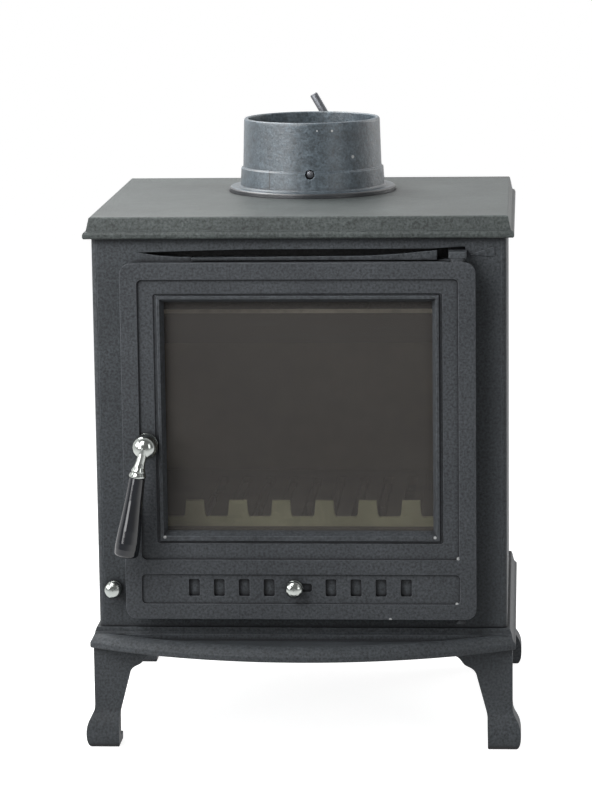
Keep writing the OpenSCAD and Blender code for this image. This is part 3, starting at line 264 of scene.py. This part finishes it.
def baffle_iron(name, dark, light, ash):
    """Inner iron whose front edge, which faces -Y, is painted pale in patches as a highlight, in the colour passed
    as ash.
    """
    mat, tree, bsdf = new_material(name)
    at = object_coords(tree)
    stains = fire_stains(tree, at)
    color = mix_colors(tree, stains, dark, light)
    facing = split_axes(tree, add(tree, "ShaderNodeNewGeometry").outputs["Normal"])
    # Painted highlight: faces that look to -Y, towards the front lamps, are made pale.
    front = ramp(tree, facing["Y"], 1.0, 0.0, start=-0.95, end=-0.85)
    highlight_patches = ramp(tree, noise(tree, at, 90), 0.7, 1.0, start=0.35, end=0.6)
    pale = math_node(tree, "MULTIPLY", front, highlight_patches)
    inputs = {"Base Color": mix_colors(tree, pale, color, ash), "Roughness": ramp(tree, stains, 0.65, 0.9)}
    fill(tree, bsdf, inputs)
    return mat


def plated_metal(name, dark, light, gloss, metallic, patches, lines, groove):
    """Metal with faint patches and fine level scratches.

    Patches is a noise scale, lines a noise scale and how flat it is, groove a strength and depth.
    """
    mat, tree, bsdf = new_material(name)
    haze = noise(tree, object_coords(tree), patches, detail=4)
    density, flatness = lines
    scratches = noise(tree, object_coords(tree, (1, 1, flatness)), density, detail=2)
    inputs = {
        "Base Color": two_tones(tree, haze, dark, light),
        "Metallic": metallic,
        "Roughness": spread(tree, haze, *gloss),
        "Normal": bump(tree, scratches, *groove, rounded_normal(tree, 0.5 * MM)),
    }
    fill(tree, bsdf, inputs)
    return mat


def chrome_plate(name):
    return plated_metal(
        name, (0.36, 0.385, 0.37), (0.45, 0.47, 0.45), gloss=(0.1, 0.18),
        metallic=1.0, patches=90, lines=(500, 9), groove=(0.04, 0.2 * MM),
    )


def plated_steel(name, dark, light, gloss):
    return plated_metal(
        name, dark, light, gloss,
        metallic=0.85, patches=60, lines=(300, 12), groove=(0.12, 0.3 * MM),
    )


def black_grip(name):
    """Glossy black moulding with a slight orange peel."""
    mat, tree, bsdf = new_material(name)
    at = object_coords(tree)
    smears = noise(tree, at, 55)
    inputs = {
        "Base Color": two_tones(tree, smears, (0.004, 0.005, 0.008), (0.008, 0.010, 0.015)),
        "Roughness": spread(tree, smears, 0.06, 0.12),
        "Specular IOR Level": 0.7,
        "Normal": bump(tree, noise(tree, at, 260, detail=2), 0.05, 0.4 * MM),
    }
    fill(tree, bsdf, inputs)
    return mat


def smoked_glass(name):
    """Clear glass under a thin, nearly even film of soot."""
    mat, tree, bsdf = new_material(name)
    film = noise(tree, object_coords(tree), 9)
    inputs = {
        "Base Color": two_tones(tree, film, (0.110, 0.103, 0.098), (0.124, 0.117, 0.110)),
        "Roughness": 0.05,
        "Alpha": 0.28,
        "Specular IOR Level": 0.25,
    }
    fill(tree, bsdf, inputs)
    return mat


def fired_brick(name):
    """Pale brick with clouds of soot."""
    mat, tree, bsdf = new_material(name)
    at = object_coords(tree)
    grit = noise(tree, at, 380, detail=4, roughness=0.7)
    color = two_tones(tree, noise(tree, at, 16, detail=4), (0.2, 0.165, 0.11), (0.34, 0.29, 0.2))
    soot_clouds = ramp(tree, noise(tree, at, 7), 0.0, 0.75, start=0.42, end=0.62)
    inputs = {
        "Base Color": mix_colors(tree, soot_clouds, color, (0.06, 0.052, 0.042)),
        "Roughness": 0.9,
        "Normal": bump(tree, grit, 0.25, 0.8 * MM, rounded_normal(tree, 1.2 * MM)),
    }
    fill(tree, bsdf, inputs)
    return mat


def glass_rope(name):
    """Knitted glass fibre rope: the knit is in the mesh, the yarn in the bump."""
    mat, tree, bsdf = new_material(name)
    at = object_coords(tree)
    yarn = noise(tree, at, 1400, roughness=0.7)
    darkening = ramp(tree, noise(tree, at, 18), 0.0, 1.0, start=0.35, end=0.7)
    inputs = {
        "Base Color": mix_colors(tree, darkening, (0.5, 0.48, 0.43), (0.27, 0.255, 0.225)),
        "Roughness": 0.95,
        "Sheen Weight": 0.25,
        "Normal": bump(tree, yarn, 0.5, 0.5 * MM),
    }
    fill(tree, bsdf, inputs)
    return mat


# Places on the castings in metres: bare chips and painted glints as x, y, z and radius, marks as two corners of a
# box
DOOR_CHIPS_AND_GLINTS = [
    (0.1478, -0.1565, 0.1852, 0.0021),
    (0.1463, -0.1565, 0.1420, 0.0017),
    (0.084, -0.158, 0.1274, 0.0016),
    # These last three are painted glints at the corners of the bead round the glass.
    (-0.1268, -0.157, 0.2055, 0.0018),
    (0.1246, -0.157, 0.2085, 0.0019),
    (0.1262, -0.157, 0.2055, 0.0017),
]
COLLAR_CHIPS = [
    (0.0092, 0.0165, 0.5692, 0.001),
    (0.0236, 0.0202, 0.5689, 0.0014),
    (0.0427, 0.0308, 0.5427, 0.002),
]
UPRIGHT_LINE = ((-0.0386, -0.02, 0.512), (-0.0378, 0.05, 0.53))
FLANGE_FOOT = ((-0.1, -0.1, 0.504), (0.1, 0.2, 0.5094))

body_iron = painted_iron("body_iron", (0.040, 0.0445, 0.049), (0.053, 0.059, 0.065))
door_iron = painted_iron(
    "door_iron", (0.040, 0.044, 0.049), (0.053, 0.058, 0.064), wear_and_highlight=0.8, chips_and_glints=DOOR_CHIPS_AND_GLINTS
)
top_iron = painted_iron(
    "top_iron", (0.048, 0.055, 0.054), (0.067, 0.077, 0.075), relief=0.4, gloss=(0.42, 0.58), mottle=0.08
)
collar_iron = painted_iron(
    "collar_iron", (0.047, 0.062, 0.074), (0.070, 0.092, 0.110), relief=0.45, gloss=(0.34, 0.48),
    shine=0.8, mottle=0.3, chips_and_glints=COLLAR_CHIPS, marks=[UPRIGHT_LINE, FLANGE_FOOT],
)
# Painted shade: a darker copy of the body paint for the hinge washer and the lower hinge lug under the door.
shaded_lug_iron = painted_iron("shaded_lug_iron", (0.018, 0.020, 0.022), (0.026, 0.029, 0.032), wear_and_highlight=0.0)
inner_iron = sooty_iron("inner_iron", (0.035, 0.031, 0.026), (0.075, 0.066, 0.052))
# Near-black sooty iron for the air wash duct: soot, deepened to near black as painted shade in the slit above the
# door.
soot = sooty_iron("soot", (0.004, 0.004, 0.005), (0.009, 0.0085, 0.009))
fence_iron = sooty_iron("fence_iron", (0.22, 0.215, 0.125), (0.33, 0.325, 0.20))
baffle_face = baffle_iron("baffle_face", (0.05, 0.042, 0.036), (0.085, 0.074, 0.062), (0.8, 0.74, 0.58))
chrome = chrome_plate("chrome")
steel = plated_steel("steel", (0.2, 0.2, 0.205), (0.34, 0.34, 0.34), gloss=(0.32, 0.5))
dark_steel = plated_steel("dark_steel", (0.1, 0.105, 0.115), (0.17, 0.176, 0.19), gloss=(0.4, 0.6))
grip = black_grip("grip")
glass = smoked_glass("glass")
firebrick = fired_brick("firebrick")
fibre = glass_rope("fibre")

by_slot = {
    "body_iron": body_iron,
    "top_iron": top_iron,
    "collar_iron": collar_iron,
    "inner_iron": inner_iron,
    "chrome": chrome,
    "steel": steel,
    "grip": grip,
    "glass": glass,
    "fibre": fibre,
    "firebrick": firebrick,
}
own_material = {
    "baffle": baffle_face,
    "door": door_iron,
    "log_retainer": fence_iron,
    "damper_spindle": dark_steel,
    # Soot and painted shade: the duct is made near black where it shows through the slit.
    "airwash_duct": soot,
    "hinge_pins": body_iron,
    "hinge_washer": shaded_lug_iron,
    "lower_hinge_lug": shaded_lug_iron,
}

for part in frame["record"]["subparts"]:
    obj = nodes[part["node"]]
    mat = own_material.get(part["node"], by_slot[part["material_slot"]])
    obj.data.materials.clear()
    obj.data.materials.append(mat)


# Mesh helpers
def add_mesh(name, verts, faces, mat, body):
    mesh = bpy.data.meshes.new(name)
    mesh.from_pydata(verts, [], faces)
    mesh.update()
    for face in mesh.polygons:
        face.use_smooth = True
    obj = bpy.data.objects.new(name, mesh)
    bpy.context.scene.collection.objects.link(obj)
    mesh.materials.append(mat)
    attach(obj, body)
    return obj


def wall_faces(rings, sides, closed):
    """Faces between neighbouring rings of points, and from the last ring to the first if closed."""
    faces = []
    for k in range(rings if closed else rings - 1):
        here = k * sides
        there = (k + 1) % rings * sides
        for s in range(sides):
            t = (s + 1) % sides
            faces.append((here + s, here + t, there + t, there + s))
    return faces


def rounded_loop(x0, z0, x1, z1, radius, step):
    """Even points (x, z, direction x, direction z) round a rounded rectangle, and its length."""
    corners = [
        (x1 - radius, z1 - radius, 0),
        (x0 + radius, z1 - radius, 90),
        (x0 + radius, z0 + radius, 180),
        (x1 - radius, z0 + radius, 270),
    ]
    arc_steps = 24
    dense = []
    for cx, cz, start in corners:
        for k in range(arc_steps + 1):
            a = math.radians(start + 90 * k / arc_steps)
            dense.append(Vector((cx + radius * math.cos(a), cz + radius * math.sin(a))))
    lengths = [(dense[(i + 1) % len(dense)] - p).length for i, p in enumerate(dense)]
    total = sum(lengths)
    count = round(total / step)
    points = []
    i = 0
    walked = 0.0
    for k in range(count):
        target = total * k / count
        while walked + lengths[i] < target:
            walked += lengths[i]
            i += 1
        a = dense[i]
        b = dense[(i + 1) % len(dense)]
        t = (target - walked) / lengths[i]
        along = (b - a).normalized()
        points.append((*(a + (b - a) * t), *along))
    return points, total


def knitted_rope():
    """Knitted sealing rope in the door's channel."""
    low, high = (Vector(v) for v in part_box("door_rope"))
    width = 7.4 * MM
    depth = high.y - low.y
    corner_radius = 9 * MM
    ring_step = 1.1 * MM
    stitch_length = 4.4 * MM
    stitch_depth = 0.07  # share of the rope's radius
    fit = 0.97  # keeps the rope just off the channel's walls
    squareness = 0.1
    sides = 14

    mid_y = (low.y + high.y) / 2
    inset = width / 2
    points, total = rounded_loop(
        low.x + inset, low.z + inset, high.x - inset, high.z - inset, corner_radius, ring_step
    )
    rings = len(points)
    stitches = round(total / stitch_length)
    verts = []
    for k, (x, z, dx, dz) in enumerate(points):
        phase = TURN * stitches * k / rings
        for s in range(sides):
            a = TURN * s / sides
            slant = 2 * TURN * abs(s / sides - 0.5)
            knit = 1 - stitch_depth * (0.5 + 0.5 * math.cos(phase + slant))
            across = fit * knit * width / 2 * math.cos(a)
            out = fit * knit * depth / 2 * math.sin(a)
            squarish = 1 + squareness * abs(math.sin(2 * a))
            verts.append((x - dz * across * squarish, mid_y + out * squarish, z + dx * across * squarish))
    faces = wall_faces(rings, sides, closed=True)
    rope = add_mesh("knitted_rope", verts, faces, fibre, "stove_door")
    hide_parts("door_rope")


knitted_rope()


# Damper handle
def bent_path(corners, radius, steps=10):
    """Corner points joined by straight runs and round bends."""
    path = [corners[0]]
    for before, corner, after in zip(corners, corners[1:], corners[2:]):
        to_back = (before - corner).normalized()
        to_front = (after - corner).normalized()
        half = to_back.angle(to_front) / 2
        reach = radius / math.tan(half)
        centre = corner + (to_back + to_front).normalized() * radius / math.sin(half)
        start = (corner + to_back * reach - centre).normalized()
        end = (corner + to_front * reach - centre).normalized()
        for k in range(steps + 1):
            path.append(centre + start.slerp(end, k / steps) * radius)
    path.append(corners[-1])
    return path


def tube(name, path, radii, sides, mat, body):
    """Closed round tube along a path; radii has one radius per point."""
    verts = []
    side = Vector((1, 0, 0))
    for k, point in enumerate(path):
        ahead = (path[min(k + 1, len(path) - 1)] - path[max(k - 1, 0)]).normalized()
        side = (side - ahead * side.dot(ahead)).normalized()
        other = ahead.cross(side)
        for s in range(sides):
            a = TURN * s / sides
            verts.append(point + (side * math.cos(a) + other * math.sin(a)) * radii[k])
    faces = wall_faces(len(path), sides, closed=False)
    faces.append(tuple(reversed(range(sides))))
    last = (len(path) - 1) * sides
    faces.append(tuple(range(last, last + sides)))
    return add_mesh(name, verts, faces, mat, body)


def joint_place(name):
    return next(Vector(j["pos_m"]) for j in frame["joints"] if j["name"] == name)


def leaning(degrees):
    """The direction that leans from straight up towards +X by an angle."""
    a = math.radians(degrees)
    return Vector((math.sin(a), 0, math.cos(a)))


def damper_handle():
    """One round rod with smooth bends, along the CAD rod's own line."""
    low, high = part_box("damper_spindle")
    axis = joint_place("damper_turn")
    radius = 4 * MM
    knob = 0.15 * MM  # the CAD rod's bends are balls, this much larger than the rod in radius
    bend_radius = 7 * MM
    chamfer = 0.8 * MM
    sides = 24
    rise_lean, rise = 19, 35.5  # degrees, millimetres
    tip_lean, tip = -30, 36

    corner = Vector((axis.x, high.y - radius - knob, axis.z))
    knee = corner + leaning(rise_lean) * rise * MM
    end = knee + leaning(tip_lean) * tip * MM
    path = bent_path([Vector((axis.x, low.y, axis.z)), corner, knee, end], bend_radius)
    path.insert(1, path[0] + (path[1] - path[0]).normalized() * chamfer)
    path.insert(-1, path[-1] + (path[-2] - path[-1]).normalized() * chamfer)
    radii = [radius] * len(path)
    radii[0] = radii[-1] = radius - chamfer
    rod = tube("damper_rod", path, radii, sides, dark_steel, "flue_damper")
    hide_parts("damper_spindle")


damper_handle()


# Studio: a pale floor, soft light and the photograph's camera
def past_dim_room(tree, along, near, far):
    """1, but less for reflected rays that end in the dim room behind the camera, which is -Y."""
    path = add(tree, "ShaderNodeLightPath")
    room = ramp(tree, along, ROOM_DIMNESS, 0.0, start=far, end=near)
    dimmed = math_node(tree, "MULTIPLY", room, path.outputs["Is Glossy Ray"])
    return math_node(tree, "SUBTRACT", 1.0, dimmed)


def show_backdrop(tree, out, lighting, shown):
    """Shown is for rays from the camera, in a reflection or through glass, lighting for the rest."""
    path = add(tree, "ShaderNodeLightPath")
    seen = math_node(tree, "MAXIMUM", path.outputs["Is Camera Ray"], path.outputs["Is Glossy Ray"])
    seen = math_node(tree, "MAXIMUM", seen, path.outputs["Is Transmission Ray"])
    mix = add(tree, "ShaderNodeMixShader", {"Fac": seen, 1: lighting, 2: shown})
    tree.links.new(mix.outputs["Shader"], out.inputs["Surface"])


def studio_floor():
    """Shows white with the stove's shadow on it, but sends little light up to the stove."""
    mesh = bpy.data.meshes.new("floor")
    half = 40.0
    corners = [(-half, -half, 0), (half, -half, 0), (half, half, 0), (-half, half, 0)]
    mesh.from_pydata(corners, [], [(0, 1, 2, 3)])
    floor = bpy.data.objects.new("floor", mesh)
    bpy.context.scene.collection.objects.link(floor)
    mat, tree, bsdf = new_material("floor_pale")
    fill(tree, bsdf, {"Base Color": (0.22, 0.22, 0.22), "Roughness": 0.9})
    place = split_axes(tree, add(tree, "ShaderNodeTexCoord").outputs["Object"])
    lit = past_dim_room(tree, place["Y"], near=-0.4, far=-1.2)
    strength = math_node(tree, "MULTIPLY", lit, FLOOR_GLOW)
    glow = add(tree, "ShaderNodeEmission", {"Color": WHITE, "Strength": strength})
    shade = add(tree, "ShaderNodeBsdfDiffuse", {"Color": (0.5, 0.5, 0.5)})
    white = add(tree, "ShaderNodeAddShader", {0: shade.outputs["BSDF"], 1: glow.outputs["Emission"]})
    out = tree.nodes["Material Output"]
    show_backdrop(tree, out, bsdf.outputs["BSDF"], white.outputs["Shader"])
    mesh.materials.append(mat)


def studio_world():
    """White all round, but for the dim room behind the camera that chrome and paint reflect."""
    world = bpy.data.worlds.new("studio")
    bpy.context.scene.world = world
    world.use_nodes = True
    tree = world.node_tree
    tree.nodes.clear()
    out = tree.nodes.new("ShaderNodeOutputWorld")
    heading = split_axes(tree, add(tree, "ShaderNodeTexCoord").outputs["Generated"])
    strength = past_dim_room(tree, heading["Y"], near=0.15, far=-0.25)
    soft = add(tree, "ShaderNodeBackground", {"Color": WHITE, "Strength": WORLD_LIGHT})
    shown = add(tree, "ShaderNodeBackground", {"Color": WHITE, "Strength": strength})
    show_backdrop(tree, out, soft.outputs["Background"], shown.outputs["Background"])


# Name, place, aim, width and height in metres, power in watts, spread in degrees
LAMPS = [
    ("key", (-0.6, -1.0, 1.35), (0, -0.1, 0.55), (0.7, 0.7), 2.6, 70),
    ("top", (-0.5, 0.45, 1.45), (0, 0.05, 0.5), (0.8, 0.7), 17.5, 180),
    ("left_box", (-1.3, -1.35, 0.9), (0, 0, 0.6), (0.8, 1.4), 4.6, 90),
    ("left_side", (-1.6, -0.45, 0.95), (0, 0, 0.55), (0.7, 1.0), 2.6, 90),
    ("right_box", (1.45, -1.6, 0.9), (0, 0, 0.5), (0.45, 1.3), 3, 120),
    ("right_rear", (1.3, 1.0, 1.0), (0, 0.08, 0.5), (0.5, 1.0), 6, 180),
]


def area_light(name, place, aim, size, power, spread_angle):
    data = bpy.data.lights.new(name, "AREA")
    data.shape = "RECTANGLE"
    data.size, data.size_y = size
    data.energy = power
    data.spread = math.radians(spread_angle)
    lamp = bpy.data.objects.new(name, data)
    lamp.location = place
    lamp.rotation_euler = (Vector(aim) - Vector(place)).to_track_quat("-Z", "Y").to_euler()
    bpy.context.scene.collection.objects.link(lamp)


def photo_camera():
    """The photograph's camera, solved from the stove's straight edges; angles in radians."""
    place = Vector((0.2115, -3.1293, 0.8646))
    yaw, pitch, roll = 0.0717, 0.1739, -0.0129
    focal_px = 3263.7
    ahead = Vector((-math.sin(yaw) * math.cos(pitch), math.cos(yaw) * math.cos(pitch), -math.sin(pitch)))
    level = Vector((math.cos(yaw), math.sin(yaw), 0))
    above = level.cross(ahead)
    right = math.cos(roll) * level + math.sin(roll) * above
    up = -math.sin(roll) * level + math.cos(roll) * above
    data = bpy.data.cameras.new("photo_camera")
    data.sensor_fit = "HORIZONTAL"
    data.sensor_width = 36.0
    data.lens = focal_px * data.sensor_width / IMAGE_W
    data.clip_end = 100.0
    camera = bpy.data.objects.new("photo_camera", data)
    camera.matrix_world = Matrix(
        (
            (right.x, up.x, -ahead.x, place.x),
            (right.y, up.y, -ahead.y, place.y),
            (right.z, up.z, -ahead.z, place.z),
            (0, 0, 0, 1),
        )
    )
    bpy.context.scene.collection.objects.link(camera)
    bpy.context.scene.camera = camera


studio_floor()
studio_world()
for lamp_row in LAMPS:
    area_light(*lamp_row)
photo_camera()
bpy.context.scene.view_settings.view_transform = "Standard"
